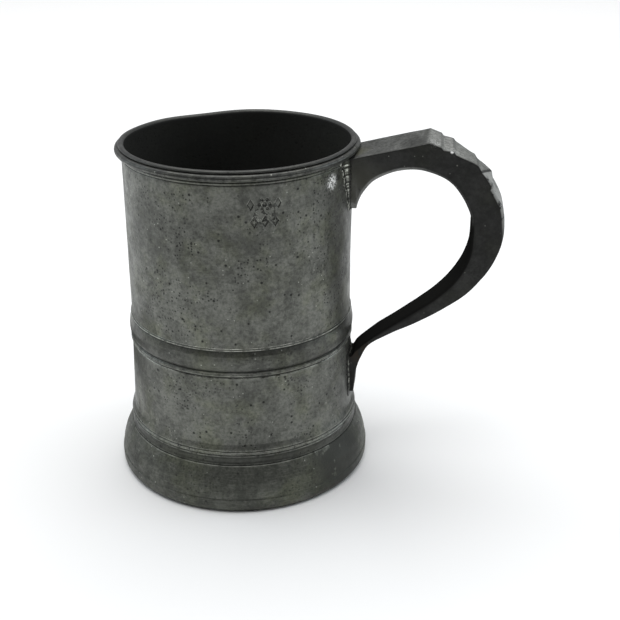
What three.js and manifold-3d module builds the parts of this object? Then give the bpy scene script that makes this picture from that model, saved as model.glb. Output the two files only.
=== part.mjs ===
// Pewter pint mug with a waist band, a flared hollow foot and a cast handle.
// Millimetres, +Z up. Each piece is drawn round the drum's axis, with the foot
// standing on z = 0 and the handle pointing along +X. The whole mug is then moved
// along X, so that the origin is under the middle of its overall length.

import * as THREE from 'three';
import { mergeVertices } from 'three/addons/utils/BufferGeometryUtils.js';
import Module from 'manifold-3d';

const wasm = await Module();
wasm.setup();

// ---------------------------------------------------------------- dimensions

const SEGMENTS = 60; // facets round every turned piece
const CLEARANCE = 0.3; // gap left where a piece is cut to fit round the drum
const SOLDER_FILM = 0.3; // thickness of a soldered butt joint

// Drum: two cast cylinders that meet at the waist.
const CREST_Z = 127.6; // top of the rolled rim
const WAIST_Z = 57; // top face of the lower drum
const BORE_RADIUS = 39.9; // inside of the upper drum
const BORE_FOOT_RADIUS = 40.6; // inside of the lower drum where the foot starts
const RIM_RADIUS = 41.1; // outside of the drum under the lip
const DRUM_RADIUS = 41.3; // outside of both drums under the waist band
const DRUM_SHOULDER_RADIUS = 41.7; // lower drum just under the waist band
const DRUM_FLARE_RADIUS = 42.4; // lower drum where its flare starts
const DRUM_FLARE_Z = 27.3;
const FLARE_MIDDLE_RADIUS = 42.7;
const FLARE_MIDDLE_Z = 25.4;
const REED_RADIUS = 43.2; // top reed, where the flare ends
const REED_TOP_Z = 23.5;

// Lip band, soldered round the rim.
const LIP_BOTTOM_Z = 124.2;
const LIP_TOP_Z = 126.4;
const LIP_RADIUS = 43.5;

// Waist band.
const BAND_BOTTOM_Z = 51.8;
const BAND_TOP_Z = 63.3;
const BAND_RADIUS = 42.4;

// Foot: flared and hollow underneath, with the base disc let in from below.
const FOOT_TOP_Z = 17.4;
const FOOT_TOP_RADIUS = 44.2;
const FOOT_RADIUS = 48.4;
const FOOT_BOTTOM_OUTER_RADIUS = 46.6;
const FOOT_BOTTOM_INNER_RADIUS = 44.4;
const DISC_RADIUS = 42;
const DISC_TOP_Z = 11.6;
const DISC_THICKNESS = 1.5;

// Handle.
const HANDLE_REACH = 96.1; // from the drum's axis to the handle's furthest point
const STRAP_WIDTH = 20.6; // across the strap, from the drum to the apex
const STRAP_END_X = 69; // apex, where the strap starts to narrow
const GRIP_START_X = 78; // where the strap has narrowed to the grip's width
const GRIP_WIDTH = 19.2; // across the thumb rest and the upper grip
const GRIP_END_Z = 94; // widest part of the D, where the lower arm starts to taper
const TAPER_END_Z = 58; // where the lower arm has tapered to the tongue's width
const TONGUE_WIDTH = 12; // across the lower arm and the tongue
const TONGUE_BOTTOM_Z = 30.4;
const ROOT_TOP_Z = 123.5; // strap's top face at the drum
const ROOT_SHOULDER_Z = 118.5; // where the root starts to narrow downwards
const ROOT_BOTTOM_Z = 103.5; // arch's foot at the drum
const ROOT_FOOT_WIDTH = 10; // across the root at its bottom
const CROTCH_Z = 45.2; // where the lower arm meets the drum
const BURIED_X = 38; // the blank's hidden end, which the drum's outline cuts off
const BURIED_TOP_Z = 122.7; // the strap's top face at that end
const BLANK_RANGE_X = [30, 105]; // the cutting shapes reach past the handle on all sides
const BLANK_RANGE_Z = [20, 140];
const SOLDER_MARGIN = 1.6; // how far a solder fillet spreads past the handle
const SOLDER_THICKNESS = 0.8;

// ---------------------------------------------------------------- materials

const pewter = (name, color, roughness) =>
  new THREE.MeshStandardMaterial({ name, color, roughness, metalness: 0.9 });

const drumPewter = pewter('drum_pewter', 0x62655f, 0.5);
const rimPewter = pewter('rim_pewter', 0x7c7f7a, 0.4);
const bandPewter = pewter('band_pewter', 0x4a4d47, 0.5);
const footPewter = pewter('foot_pewter', 0x484a43, 0.55);
const handlePewter = pewter('handle_pewter', 0x3a3b38, 0.55);
const solder = pewter('solder', 0x8a8c80, 0.6);

// ---------------------------------------------------------------- helpers

function toVectors(points) {
  return points.map(([a, b]) => new THREE.Vector2(a, b));
}

// A solid of revolution about Z from a closed outline of [radius, z] points,
// listed anticlockwise with the radius to the right.
function turned(outline) {
  const points = toVectors([...outline, outline[0]]);
  return new THREE.LatheGeometry(points, SEGMENTS).rotateX(Math.PI / 2);
}

// A shape drawn in X and Z, extruded evenly to both sides of y = 0.
function extrudedAcross(shape, width, curveSegments = 3) {
  const options = { depth: width, bevelEnabled: false, curveSegments };
  return new THREE.ExtrudeGeometry(shape, options)
    .rotateX(Math.PI / 2)
    .translate(0, width / 2, 0);
}

// A shape drawn in Y and Z, extruded from one X to another.
function extrudedAlong(shape, fromX, toX, curveSegments = 3) {
  const options = { depth: toX - fromX, bevelEnabled: false, curveSegments };
  return new THREE.ExtrudeGeometry(shape, options)
    .rotateX(Math.PI / 2)
    .rotateZ(Math.PI / 2)
    .translate(fromX, 0, 0);
}

function polygon(points) {
  return new THREE.Shape(toVectors(points));
}

// The same points, then their mirror images across the middle line in reverse order.
function bothSides(points) {
  return [...points, ...points.map(([a, b]) => [-a, b]).reverse()];
}

function toSolid(geometry) {
  const bare = geometry.clone();
  bare.deleteAttribute('normal');
  bare.deleteAttribute('uv');
  const merged = mergeVertices(bare, 1e-4);
  return new wasm.Manifold(
    new wasm.Mesh({
      numProp: 3,
      vertProperties: new Float32Array(merged.attributes.position.array),
      triVerts: new Uint32Array(merged.index.array),
    }),
  );
}

function toGeometry(solid) {
  const mesh = solid.getMesh();
  const geometry = new THREE.BufferGeometry();
  geometry.setAttribute('position', new THREE.BufferAttribute(mesh.vertProperties, 3));
  geometry.setIndex(new THREE.BufferAttribute(mesh.triVerts, 1));
  geometry.computeVertexNormals();
  return geometry;
}

function named(name, geometry, material) {
  const mesh = new THREE.Mesh(geometry, material);
  mesh.name = name;
  return mesh;
}

// ---------------------------------------------------------------- drum

function upperDrum() {
  return turned([
    [BORE_RADIUS, WAIST_Z + SOLDER_FILM],
    [DRUM_RADIUS, WAIST_Z + SOLDER_FILM],
    [DRUM_RADIUS, BAND_TOP_Z],
    [RIM_RADIUS, LIP_BOTTOM_Z - 1],
    [RIM_RADIUS, LIP_TOP_Z],
    [RIM_RADIUS + 0.8, LIP_TOP_Z],
    [RIM_RADIUS + 1.1, LIP_TOP_Z + 0.5],
    [RIM_RADIUS + 0.8, CREST_Z - 0.2],
    [RIM_RADIUS + 0.2, CREST_Z],
    [RIM_RADIUS - 0.4, CREST_Z - 0.1],
    [BORE_RADIUS + 0.2, CREST_Z - 0.6],
    [BORE_RADIUS, CREST_Z - 1.2],
  ]);
}

function lipBand() {
  return turned([
    [RIM_RADIUS, LIP_BOTTOM_Z],
    [LIP_RADIUS - 1.1, LIP_BOTTOM_Z],
    [LIP_RADIUS - 0.3, LIP_BOTTOM_Z + 0.2],
    [LIP_RADIUS, LIP_BOTTOM_Z + 0.7],
    [LIP_RADIUS - 0.1, LIP_TOP_Z - 0.7],
    [LIP_RADIUS - 0.6, LIP_TOP_Z - 0.15],
    [LIP_RADIUS - 1.2, LIP_TOP_Z],
    [RIM_RADIUS, LIP_TOP_Z],
  ]);
}

// A broad convex band with a fine ridge above it and a bead below it.
function waistBand() {
  return turned([
    [DRUM_RADIUS, BAND_BOTTOM_Z],
    [BAND_RADIUS - 0.8, BAND_BOTTOM_Z],
    [BAND_RADIUS - 0.9, BAND_BOTTOM_Z + 0.4],
    [BAND_RADIUS - 0.4, BAND_BOTTOM_Z + 0.9],
    [BAND_RADIUS - 0.3, BAND_BOTTOM_Z + 1.4],
    [BAND_RADIUS - 0.4, BAND_BOTTOM_Z + 2],
    [BAND_RADIUS - 0.85, BAND_BOTTOM_Z + 2.5],
    [BAND_RADIUS - 0.5, BAND_BOTTOM_Z + 3],
    [BAND_RADIUS - 0.15, BAND_BOTTOM_Z + 4],
    [BAND_RADIUS, BAND_BOTTOM_Z + 5.6],
    [BAND_RADIUS, BAND_TOP_Z - 4.5],
    [BAND_RADIUS - 0.25, BAND_TOP_Z - 2.8],
    [BAND_RADIUS - 0.6, BAND_TOP_Z - 1.6],
    [BAND_RADIUS - 0.95, BAND_TOP_Z - 1.1],
    [BAND_RADIUS - 0.75, BAND_TOP_Z - 0.5],
    [DRUM_RADIUS, BAND_TOP_Z],
  ]);
}

// Rebated at the top for the waist band, flared at the bottom into two reeds
// and a shallow cove.
function lowerDrum() {
  const foot = FOOT_TOP_Z + SOLDER_FILM;
  return turned([
    [BORE_FOOT_RADIUS, foot],
    [FOOT_TOP_RADIUS - 0.3, foot],
    [FOOT_TOP_RADIUS - 0.7, foot + 1],
    [FOOT_TOP_RADIUS - 0.8, foot + 2.2],
    [FOOT_TOP_RADIUS - 0.4, foot + 3.6],
    [FOOT_TOP_RADIUS - 0.7, foot + 4.1],
    [FOOT_TOP_RADIUS - 0.6, foot + 4.6],
    [FOOT_TOP_RADIUS - 0.9, foot + 5.1],
    [REED_RADIUS, REED_TOP_Z],
    [FLARE_MIDDLE_RADIUS, FLARE_MIDDLE_Z],
    [DRUM_FLARE_RADIUS, DRUM_FLARE_Z],
    [DRUM_SHOULDER_RADIUS, BAND_BOTTOM_Z],
    [DRUM_RADIUS, BAND_BOTTOM_Z],
    [DRUM_RADIUS, WAIST_Z],
    [BORE_RADIUS, WAIST_Z],
  ]);
}

// The thin ring of solder in a butt joint between two turned pieces.
function solderRing(innerRadius, outerRadius, bottom) {
  return turned([
    [innerRadius, bottom],
    [outerRadius, bottom],
    [outerRadius, bottom + SOLDER_FILM],
    [innerRadius, bottom + SOLDER_FILM],
  ]);
}

// ---------------------------------------------------------------- foot

function footSkirt() {
  const discBottom = DISC_TOP_Z - DISC_THICKNESS;
  return turned([
    [FOOT_BOTTOM_INNER_RADIUS, 0],
    [FOOT_BOTTOM_OUTER_RADIUS, 0],
    [FOOT_RADIUS - 0.9, 0.5],
    [FOOT_RADIUS - 0.1, 1.8],
    [FOOT_RADIUS, 5.2],
    [FOOT_RADIUS - 0.3, 5.6],
    [FOOT_RADIUS - 0.6, 8.4],
    [FOOT_RADIUS - 1.5, 11.6],
    [FOOT_RADIUS - 3, 14.8],
    [FOOT_RADIUS - 3.9, 16.7],
    [FOOT_TOP_RADIUS, FOOT_TOP_Z],
    [BORE_FOOT_RADIUS, FOOT_TOP_Z],
    [BORE_FOOT_RADIUS, DISC_TOP_Z],
    [DISC_RADIUS, DISC_TOP_Z],
    [DISC_RADIUS, discBottom - 1.2],
    [FOOT_BOTTOM_INNER_RADIUS + 0.9, discBottom - 2.6],
    [FOOT_BOTTOM_INNER_RADIUS + 1.6, 4.2],
    [FOOT_BOTTOM_INNER_RADIUS + 1, 1.4],
  ]);
}

function baseDisc() {
  const bottom = DISC_TOP_Z - DISC_THICKNESS;
  return turned([
    [0, bottom],
    [DISC_RADIUS, bottom],
    [DISC_RADIUS, DISC_TOP_Z],
    [0, DISC_TOP_Z],
  ]);
}

// Fillet of solder that holds the base disc in from below.
function baseSolder() {
  const bottom = DISC_TOP_Z - DISC_THICKNESS;
  return turned([
    [DISC_RADIUS - 1.3, bottom],
    [DISC_RADIUS - 0.6, bottom - 0.6],
    [DISC_RADIUS, bottom - 1.1],
    [DISC_RADIUS, bottom],
  ]);
}

// ---------------------------------------------------------------- handle

// Drum's outline with the fitting clearance, for cutting what is soldered to it.
function drumEnvelope(extra) {
  return toSolid(
    turned([
      [0, REED_TOP_Z],
      [REED_RADIUS + extra, REED_TOP_Z],
      [FLARE_MIDDLE_RADIUS + extra, FLARE_MIDDLE_Z],
      [DRUM_FLARE_RADIUS + extra, DRUM_FLARE_Z],
      [DRUM_SHOULDER_RADIUS + extra, BAND_BOTTOM_Z],
      [DRUM_RADIUS + extra, BAND_TOP_Z],
      [RIM_RADIUS + extra, LIP_BOTTOM_Z - 1],
      [RIM_RADIUS + extra, LIP_BOTTOM_Z],
      [0, LIP_BOTTOM_Z],
    ]),
  );
}

// Side view: a flat strap that climbs from the rim, a stepped thumb rest, a D
// that swings out and back, and a tongue that lies down the drum.
function handleOutline() {
  const strapEnd = [STRAP_END_X - 0.2, 130.1];
  const thumbRest = [
    [72.8, 128.6], [73.8, 127.6],
    [77.2, 126.9], [78, 125.9],
    [85.3, 121.8], [86.5, 120.2],
    [91.4, 115.5], [91.6, 114.4],
  ];
  const outside = [
    [94.7, 108.1], [95.9, 104.3], [HANDLE_REACH, 97.5], [94.5, 89.7], [90.5, 81.3],
    [83.7, 72.5], [74.6, 65.3], [65.3, 59.7], [55.7, 54.5], [49.2, 50.2], [46.2, 44.8],
    [44.6, 39.5], [43.9, 34],
  ];
  const fingerGap = [
    [44.9, 48.6], [51.3, 54.4], [59.2, 60.3], [66.8, 66], [73.6, 71.6], [79.5, 78.3],
    [83.6, 86.3], [84.7, 93.8], [83.4, 104.4], [77.5, 114.8], [68, 119.8], [58.4, 119.5],
    [50.5, 115.8], [46.2, 110.6], [44.2, 106.1],
  ];
  const shape = new THREE.Shape();
  shape.moveTo(BURIED_X, BURIED_TOP_Z);
  for (const [x, z] of [strapEnd, ...thumbRest]) shape.lineTo(x, z);
  shape.splineThru(toVectors(outside));
  shape.lineTo(43.6, TONGUE_BOTTOM_Z);
  shape.lineTo(BURIED_X, TONGUE_BOTTOM_Z);
  shape.lineTo(BURIED_X, CROTCH_Z);
  shape.lineTo(42.7, CROTCH_Z);
  shape.splineThru(toVectors(fingerGap));
  shape.lineTo(43.6, ROOT_BOTTOM_Z);
  shape.lineTo(BURIED_X, ROOT_BOTTOM_Z);
  shape.closePath();
  return shape;
}

// Front view: full width down to the widest part of the D, then a taper.
function handleTaper() {
  const wide = STRAP_WIDTH / 2;
  const grip = GRIP_WIDTH / 2;
  const narrow = TONGUE_WIDTH / 2;
  const [below, above] = BLANK_RANGE_Z;
  const taper = [
    [grip - 0.4, 88], [grip - 1.2, 82], [grip - 2.1, 75.5], [narrow + 0.5, 68],
  ];
  const shape = new THREE.Shape();
  shape.moveTo(-wide, above);
  shape.lineTo(-wide, GRIP_END_Z);
  shape.lineTo(-grip, GRIP_END_Z);
  shape.splineThru(toVectors([...taper, [narrow, TAPER_END_Z]].map(([y, z]) => [-y, z])));
  shape.lineTo(-narrow, below);
  shape.lineTo(narrow, below);
  shape.lineTo(narrow, TAPER_END_Z);
  shape.splineThru(toVectors([...taper.reverse(), [grip, GRIP_END_Z]]));
  shape.lineTo(wide, GRIP_END_Z);
  shape.lineTo(wide, above);
  shape.closePath();
  return shape;
}

// Plan view: the strap is a little wider than the thumb rest and the grip.
function handlePlan() {
  const wide = STRAP_WIDTH / 2;
  const grip = GRIP_WIDTH / 2;
  const [near, far] = BLANK_RANGE_X;
  const edge = [[near, wide], [STRAP_END_X, wide], [GRIP_START_X, grip], [far, grip]];
  const otherEdge = edge.map(([x, y]) => [x, -y]).reverse();
  return polygon([...edge, ...otherEdge]);
}

// Front view of the root on the drum: upright sides that draw in towards the bottom.
function rootOutline(margin) {
  return polygon(bothSides([
    [ROOT_FOOT_WIDTH / 2 + margin, ROOT_BOTTOM_Z - margin],
    [STRAP_WIDTH / 2 + margin, ROOT_SHOULDER_Z],
    [STRAP_WIDTH / 2 + margin, ROOT_TOP_Z + margin],
  ]));
}

function tongueOutline(margin) {
  const top = CROTCH_Z + 0.8; // the arm's underside has just left the drum here
  return polygon(bothSides([
    [TONGUE_WIDTH / 2 + margin, TONGUE_BOTTOM_Z - margin],
    [TONGUE_WIDTH / 2 + margin, top + margin],
  ]));
}

// What is cut away beside the root, so that its sides follow rootOutline.
function besideRoot() {
  const wide = STRAP_WIDTH / 2;
  const near = BLANK_RANGE_X[0];
  const far = 52; // past the root, short of the arch's top
  const overlap = 2;
  const block = toSolid(extrudedAlong(polygon(bothSides([
    [wide + overlap, ROOT_BOTTOM_Z - overlap],
    [wide + overlap, ROOT_SHOULDER_Z],
  ])), near, far));
  const kept = toSolid(extrudedAlong(polygon(bothSides([
    [ROOT_FOOT_WIDTH / 2, ROOT_BOTTOM_Z - 2 * overlap],
    [ROOT_FOOT_WIDTH / 2, ROOT_BOTTOM_Z],
    [wide, ROOT_SHOULDER_Z],
    [wide, ROOT_SHOULDER_Z + overlap],
  ])), near - overlap, far + overlap));
  return block.subtract(kept);
}

function handle() {
  const blank = toSolid(extrudedAcross(handleOutline(), STRAP_WIDTH));
  const taper = toSolid(extrudedAlong(handleTaper(), ...BLANK_RANGE_X, 2));
  const height = BLANK_RANGE_Z[1];
  const plan = toSolid(
    new THREE.ExtrudeGeometry(handlePlan(), { depth: height, bevelEnabled: false }),
  );
  const shaped = blank.intersect(taper).intersect(plan).subtract(besideRoot());
  return toGeometry(shaped.subtract(drumEnvelope(CLEARANCE)));
}

// Solder round the end of the handle, lying on the drum.
function solderFrame(outline) {
  const [near, far] = [30, 60]; // on both sides of the drum's wall
  const frame = toSolid(extrudedAlong(outline(SOLDER_MARGIN), near, far)).subtract(
    toSolid(extrudedAlong(outline(CLEARANCE), near - 5, far + 5)),
  );
  const sheath = drumEnvelope(CLEARANCE + SOLDER_THICKNESS).subtract(drumEnvelope(CLEARANCE));
  return toGeometry(frame.intersect(sheath));
}

// ---------------------------------------------------------------- assembly

const mug = new THREE.Group();
mug.name = 'pewter_pint_mug';
mug.position.x = -(HANDLE_REACH - FOOT_RADIUS) / 2;

const waistSolder = solderRing(BORE_RADIUS, DRUM_RADIUS, WAIST_Z);
const footSolder = solderRing(BORE_FOOT_RADIUS, FOOT_TOP_RADIUS - 0.3, FOOT_TOP_Z);

mug.add(
  named('upper_drum', upperDrum(), drumPewter),
  named('lip_band', lipBand(), rimPewter),
  named('waist_band', waistBand(), bandPewter),
  named('waist_solder', waistSolder, solder),
  named('lower_drum', lowerDrum(), drumPewter),
  named('foot_solder', footSolder, solder),
  named('foot_skirt', footSkirt(), footPewter),
  named('base_disc', baseDisc(), footPewter),
  named('base_solder', baseSolder(), solder),
  named('handle', handle(), handlePewter),
  named('upper_handle_solder', solderFrame(rootOutline), solder),
  named('lower_handle_solder', solderFrame(tongueOutline), solder),
);

export default mug;
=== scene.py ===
import math
import random

import bpy
import numpy as np
from mathutils import Matrix, Vector, noise


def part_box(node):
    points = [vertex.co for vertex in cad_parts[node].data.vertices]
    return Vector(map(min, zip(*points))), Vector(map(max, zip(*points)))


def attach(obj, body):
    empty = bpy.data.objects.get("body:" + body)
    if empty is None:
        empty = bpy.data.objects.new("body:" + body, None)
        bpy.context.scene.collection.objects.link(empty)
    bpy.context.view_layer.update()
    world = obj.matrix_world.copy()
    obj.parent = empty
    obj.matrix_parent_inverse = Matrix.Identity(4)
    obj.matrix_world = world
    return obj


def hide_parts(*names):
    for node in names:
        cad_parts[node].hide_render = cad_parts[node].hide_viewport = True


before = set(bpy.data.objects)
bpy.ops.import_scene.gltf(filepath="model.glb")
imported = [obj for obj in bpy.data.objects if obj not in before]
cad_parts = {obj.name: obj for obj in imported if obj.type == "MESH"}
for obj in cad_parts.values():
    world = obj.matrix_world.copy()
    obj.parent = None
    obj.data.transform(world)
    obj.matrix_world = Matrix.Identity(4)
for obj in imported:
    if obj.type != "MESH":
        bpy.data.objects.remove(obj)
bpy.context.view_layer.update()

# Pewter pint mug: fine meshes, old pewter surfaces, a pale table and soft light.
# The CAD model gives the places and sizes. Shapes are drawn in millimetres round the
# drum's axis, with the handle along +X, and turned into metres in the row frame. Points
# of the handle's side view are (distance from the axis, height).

MM = 0.001


# ---------------------------------------------------------------- sizes from the frame

def turned_span(node):
    """Radius, bottom and top of a turned CAD node, in mm."""
    low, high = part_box(node)
    return (high.y - low.y) / 2 / MM, low.z / MM, high.z / MM


FOOT_RADIUS, _, FOOT_TOP = turned_span("foot_skirt")
AXIS_X = (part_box("foot_skirt")[0].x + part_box("foot_skirt")[1].x) / 2
LIP_RADIUS, LIP_BOTTOM, LIP_TOP = turned_span("lip_band")
BAND_RADIUS, BAND_BOTTOM, BAND_TOP = turned_span("waist_band")
DISC_RADIUS, DISC_BOTTOM, DISC_TOP = turned_span("base_disc")
CREST = turned_span("upper_drum")[2]
WAIST_RADIUS, WAIST, WAIST_FILM_TOP = turned_span("waist_solder")
FOOT_JOINT_RADIUS, _, FOOT_FILM_TOP = turned_span("foot_solder")
TONGUE_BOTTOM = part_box("handle")[0].z / MM
STRAP_HALF_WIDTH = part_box("handle")[1].y / MM
GRIP_HALF_WIDTH = STRAP_HALF_WIDTH - 0.7
HANDLE_REACH = (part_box("handle")[1].x - AXIS_X) / MM

RIM_RADIUS = LIP_RADIUS - 2.4
BORE_RADIUS = RIM_RADIUS - 1.2
BORE_FOOT_RADIUS = DISC_RADIUS - 1.4
FOOT_NECK_RADIUS = FOOT_RADIUS - 4.2
TONGUE_HALF_WIDTH = GRIP_HALF_WIDTH - 3.6
FLARE_RADIUS = FOOT_NECK_RADIUS - 1.8  # where the lower drum starts to widen downwards
FLARE_TOP = FOOT_FILM_TOP + 9.6
SHOULDER_RADIUS = WAIST_RADIUS + 0.4  # the lower drum just under the waist band

BURIED_X = 38  # the handle's upper end, inside the drum's wall
BURIED_TOP = 122.7
ROOT_BOTTOM = 103.5
ROOT_SHOULDER = 118.5  # below this height the root draws in towards its foot
ROOT_FOOT_HALF_WIDTH = 5
STRAP_TOP_AT_DRUM = 123.5
ARCH_BOTTOM = 100  # the strap and the arch lie above this height
CROTCH = 45.2  # where the lower arm's underside leaves the drum

MARK_AZIMUTH = math.radians(-67.5)  # the struck mark's middle
MARK_HEIGHT = 112.6
MARK_PLACE = (15.8, -38.1, MARK_HEIGHT)  # the same as a point on the wall
MARK_DEPTH = 0.3
MARK_HALF_WIDTH = 7.0
MARK_HALF_HEIGHT = 6.5
MARK_ROW_SPACING = 0.14  # between the mesh's rows across the mark
STRUCK_SLOPE = 0.25  # how wide a struck edge is, from the surface to its full depth
SCAR_X, SCAR_Y = 36.5, -19.5  # the bright scar on the drum beside the handle


# ---------------------------------------------------------------- outlines

def eased(outline, fillet=0.5, arc_steps=4, longest=1.6, closed=True):
    """An outline with each corner eased by a short arc, and long runs divided."""
    points = [np.array(p, float) for p in outline]
    count = len(points)
    corners = []
    for i, here in enumerate(points):
        if not closed and i in (0, count - 1):
            corners.append(here)
            continue
        before = points[i - 1] - here
        after = points[(i + 1) % count] - here
        cut = min(fillet, 0.45 * np.linalg.norm(before), 0.45 * np.linalg.norm(after))
        start = here + before / np.linalg.norm(before) * cut
        end = here + after / np.linalg.norm(after) * cut
        for t in np.linspace(0, 1, arc_steps):
            corners.append((1 - t) ** 2 * start + 2 * t * (1 - t) * here + t * t * end)
    result = []
    ends = corners[1:] + corners[:1] if closed else corners[1:]
    for start, end in zip(corners, ends):
        pieces = max(1, math.ceil(np.linalg.norm(end - start) / longest))
        result += [start + (end - start) * k / pieces for k in range(pieces)]
    if not closed:
        result.append(corners[-1])
    return np.array(result)


def smooth_curve(points, per_span=10):
    """A Catmull-Rom curve through the points."""
    p = np.array([points[0]] + list(points) + [points[-1]], float)
    t = np.linspace(0, 1, per_span, endpoint=False)[:, None]
    spans = []
    for a, b, c, d in zip(p, p[1:], p[2:], p[3:]):
        spans.append(
            0.5 * (2 * b + (c - a) * t + (2 * a - 5 * b + 4 * c - d) * t ** 2
                   + (3 * b - a - 3 * c + d) * t ** 3)
        )
    return np.vstack(spans + [p[-1:]])


def arc_lengths(path):
    return np.concatenate([[0], np.cumsum(np.linalg.norm(np.diff(path, axis=0), axis=1))])


def along(path, lengths, at):
    """Points of a path at the given lengths along it."""
    return np.stack([np.interp(at, lengths, path[:, k]) for k in range(path.shape[1])], 1)


def ease(t):
    t = np.clip(t, 0, 1)
    return t * t * (3 - 2 * t)


# ---------------------------------------------------------------- wear of the turned pieces

def angle_between(a, b):
    return (a - b + math.pi) % (2 * math.pi) - math.pi


def scattered_dings(count, seed):
    """Small knocks: azimuth, height, radius and depth, in radians and mm."""
    rng = random.Random(seed)
    dings = []
    for _ in range(count):
        azimuth = rng.uniform(-math.pi, math.pi)
        height = rng.uniform(FOOT_TOP + 8, LIP_BOTTOM - 5)
        radius = rng.uniform(1.2, 3.6)
        dings.append((azimuth, height, radius, radius * rng.uniform(0.015, 0.04)))
    return dings


DINGS = scattered_dings(90, 7)
# Where the rim is bent: azimuth, how far in, spread round the rim and reach down the wall.
RIM_DENTS = [
    (math.radians(121), 4.3, math.radians(23), 34),
    (math.radians(157), 1.2, math.radians(18), 30),
    (math.radians(39.5), -1.4, math.radians(28), 32),
    (math.radians(9.5), -0.7, math.radians(18), 26),
]


def worn_radius(azimuth, height):
    """How far the wall stands out from its turned shape, in mm, at each azimuth and height."""
    out = np.zeros_like(azimuth)
    for centre, depth, spread, reach in RIM_DENTS:
        around = np.exp(-(angle_between(azimuth, centre) / spread) ** 2)
        down = np.exp(-(np.clip(CREST - height, 0, None) / reach) ** 2)
        out -= depth * around * down
    for centre, middle, radius, depth in DINGS:
        sideways = angle_between(azimuth, centre) * WAIST_RADIUS
        distance = np.hypot(sideways, height - middle) / radius
        out -= depth * np.exp(-distance ** 2 * 2)
    return out


def uneven(azimuth, height, seed):
    """Slight waves that handwork leaves in a turned wall, in mm."""
    out = np.empty_like(azimuth)
    for i, (a, z) in enumerate(zip(azimuth, height)):
        around = Vector((math.cos(a) * 3.2, math.sin(a) * 3.2, z / 13 + seed))
        out[i] = 0.05 * noise.noise(around) + 0.018 * noise.noise(around * 3.1)
    return out


# ---------------------------------------------------------------- mesh helpers

def used_only(vertices, faces):
    """Leaves out the vertices that no face uses."""
    used = sorted({corner for face in faces for corner in face})
    place = {old: new for new, old in enumerate(used)}
    return np.asarray(vertices)[used], [[place[corner] for corner in face] for face in faces]


def new_piece(name, vertices, faces, material, node):
    """A mesh piece in the row frame from mm points, riding on the mug."""
    mesh = bpy.data.meshes.new(name)
    vertices, faces = used_only(vertices, faces)
    placed = vertices * MM + np.array([AXIS_X, 0, 0])
    mesh.from_pydata(placed.tolist(), [], faces)
    mesh.validate()
    mesh.update()
    mesh.shade_smooth()
    mesh.set_sharp_from_angle(angle=math.radians(48))
    mesh.materials.append(material)
    piece = bpy.data.objects.new(name, mesh)
    bpy.context.scene.collection.objects.link(piece)
    mark_edges(mesh)
    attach(piece, "root")
    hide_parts(node)
    return piece


NO_EDGE = 0.5  # an edge mark of a flat place: higher stands out, and lower sinks in


def mark_edges(mesh, rounds=2):
    """Writes how sharply each vertex stands out or sinks in, smoothed over its neighbours."""
    count = len(mesh.vertices)
    places = np.empty(count * 3)
    mesh.vertices.foreach_get("co", places)
    places = places.reshape(-1, 3)
    normals = np.array([v.normal for v in mesh.vertices])
    pairs = np.empty(len(mesh.edges) * 2, int)
    mesh.edges.foreach_get("vertices", pairs)
    pairs = pairs.reshape(-1, 2)
    first, second = pairs[:, 0], pairs[:, 1]
    step = places[second] - places[first]
    step /= np.maximum(np.linalg.norm(step, axis=1, keepdims=True), 1e-9)
    lean = np.bincount(first, -(step * normals[first]).sum(1), count)
    lean += np.bincount(second, (step * normals[second]).sum(1), count)
    share = np.maximum(np.bincount(pairs.ravel(), minlength=count), 1)
    lean /= share
    for _ in range(rounds):
        spread = np.bincount(first, lean[second], count)
        spread += np.bincount(second, lean[first], count)
        lean = 0.5 * lean + 0.5 * spread / share
    edge = mesh.attributes.new("edge", "FLOAT", "POINT")
    edge.data.foreach_set("value", (NO_EDGE + 2.5 * lean).clip(0, 1).astype(np.float32))


def turned_piece(name, outline, material, node, angles, shape=None, seed=0):
    """A fine solid of revolution, bent and knocked as the wall is at each place.

    shape gives a further move outwards, in mm, at each azimuth, height and radius."""
    outline = np.asarray(outline)
    count, columns = len(outline), len(angles)
    azimuth = np.repeat(angles, count)
    radius = np.tile(outline[:, 0], columns)
    height = np.tile(outline[:, 1], columns)
    out = worn_radius(azimuth, height) + uneven(azimuth, height, seed)
    if shape:
        out += shape(azimuth, height, radius)
    radius = radius + out * np.clip((radius - 20) / 10, 0, 1)  # still near the axis
    vertices = np.stack([radius * np.cos(azimuth), radius * np.sin(azimuth), height], 1)
    on_axis = outline[:, 0] < 1e-6
    faces = []
    for i in range(columns):
        j = (i + 1) % columns
        for k in range(count):
            n = (k + 1) % count
            corners = [(i, k), (j, k), (j, n), (i, n)]
            face = [(0 if on_axis[row] else column) * count + row for column, row in corners]
            face = list(dict.fromkeys(face))
            if len(face) > 2:
                faces.append(face)
    new_piece(name, vertices, faces, material, node)


def even_angles(columns=360):
    return np.linspace(-math.pi, math.pi, columns, endpoint=False)


# ---------------------------------------------------------------- materials

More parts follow.
